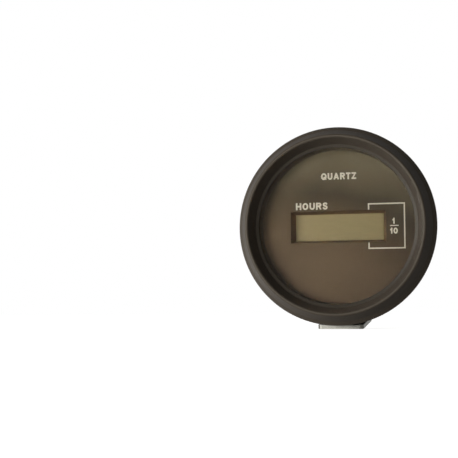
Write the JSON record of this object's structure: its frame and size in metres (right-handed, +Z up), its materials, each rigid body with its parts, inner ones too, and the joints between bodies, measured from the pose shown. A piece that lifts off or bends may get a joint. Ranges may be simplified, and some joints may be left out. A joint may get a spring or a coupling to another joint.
{
  "type": "hour meter",
  "caption": "Round panel-mount hour meter with a recessed display window, rear spade terminals and a U-shaped clamp bracket held on studs by knurled thumb nuts.",
  "frame": {"origin": "on the meter's axis, in the plane where the bezel's rear face meets the panel", "axes": "+Y along the axis out of the back, the dial faces -Y, +Z up the dial, +X to the right as seen from the front"},
  "size_m": [0.06, 0.0451, 0.0611],
  "materials": {
    "housing_plastic": "moulded satin black",
    "bezel_plastic": "moulded satin black",
    "lens_acrylic": "clear polished",
    "seal_rubber": "matte",
    "dial_print": "printed matte",
    "holder_plastic": "moulded matte",
    "display_film": "satin film",
    "display_glass": "clear tinted",
    "board_laminate": "solder mask",
    "chip_epoxy": "moulded matte",
    "crystal_can": "drawn can",
    "capacitor_sleeve": "shrink sleeve",
    "terminal_brass": "tinned",
    "plated_steel": "zinc plated",
    "bracket_zinc": "zinc plated, dull",
    "nut_brass": "nickel plated, knurled"
  },
  "bodies": {
    "meter": {"housing": "housing_plastic", "bezel": "bezel_plastic", "lens": "lens_acrylic", "lens_gasket": "seal_rubber", "dial_ring": "housing_plastic", "dial_plate": "dial_print", "lcd_holder": "holder_plastic", "lcd_polariser": "display_film", "lcd_front_glass": "display_glass", "lcd_rear_glass": "display_glass", "lcd_reflector": "display_film", "contact_strip_upper": "seal_rubber", "contact_strip_lower": "seal_rubber", "circuit_board": "board_laminate", "board_screw_upper": "plated_steel", "board_screw_lower": "plated_steel", "controller_chip": "chip_epoxy", "memory_chip": "chip_epoxy", "quartz_crystal": "crystal_can", "filter_capacitor": "capacitor_sleeve", "voltage_regulator": "chip_epoxy", "input_diode": "chip_epoxy", "input_resistor": "chip_epoxy", "terminal_positive": "terminal_brass", "terminal_negative": "terminal_brass", "terminal_ignition": "terminal_brass", "stud_upper": "plated_steel", "stud_lower": "plated_steel"},
    "bracket": {"mounting_bracket": "bracket_zinc"},
    "upper_nut": {"thumb_nut_upper": "nut_brass"},
    "lower_nut": {"thumb_nut_lower": "nut_brass"}
  },
  "joints": [
    {"name": "bracket_slide", "type": "slide", "parent": "meter", "child": "bracket", "axis": [0, 1, 0], "range_m": [0, 0.0063]},
    {"name": "upper_nut_turn", "type": "hinge", "parent": "bracket", "child": "upper_nut", "pos_m": [0, 0.0287, 0.019], "axis": [0, 1, 0], "range_deg": [0, 3240]},
    {"name": "lower_nut_turn", "type": "hinge", "parent": "bracket", "child": "lower_nut", "pos_m": [0, 0.0287, -0.019], "axis": [0, 1, 0], "range_deg": [0, 3240]}
  ],
  "couplings": [
    {"joint": "upper_nut_turn", "follows": "bracket_slide", "rad_per_m": 8976},
    {"joint": "lower_nut_turn", "follows": "bracket_slide", "rad_per_m": 8976}
  ]
}
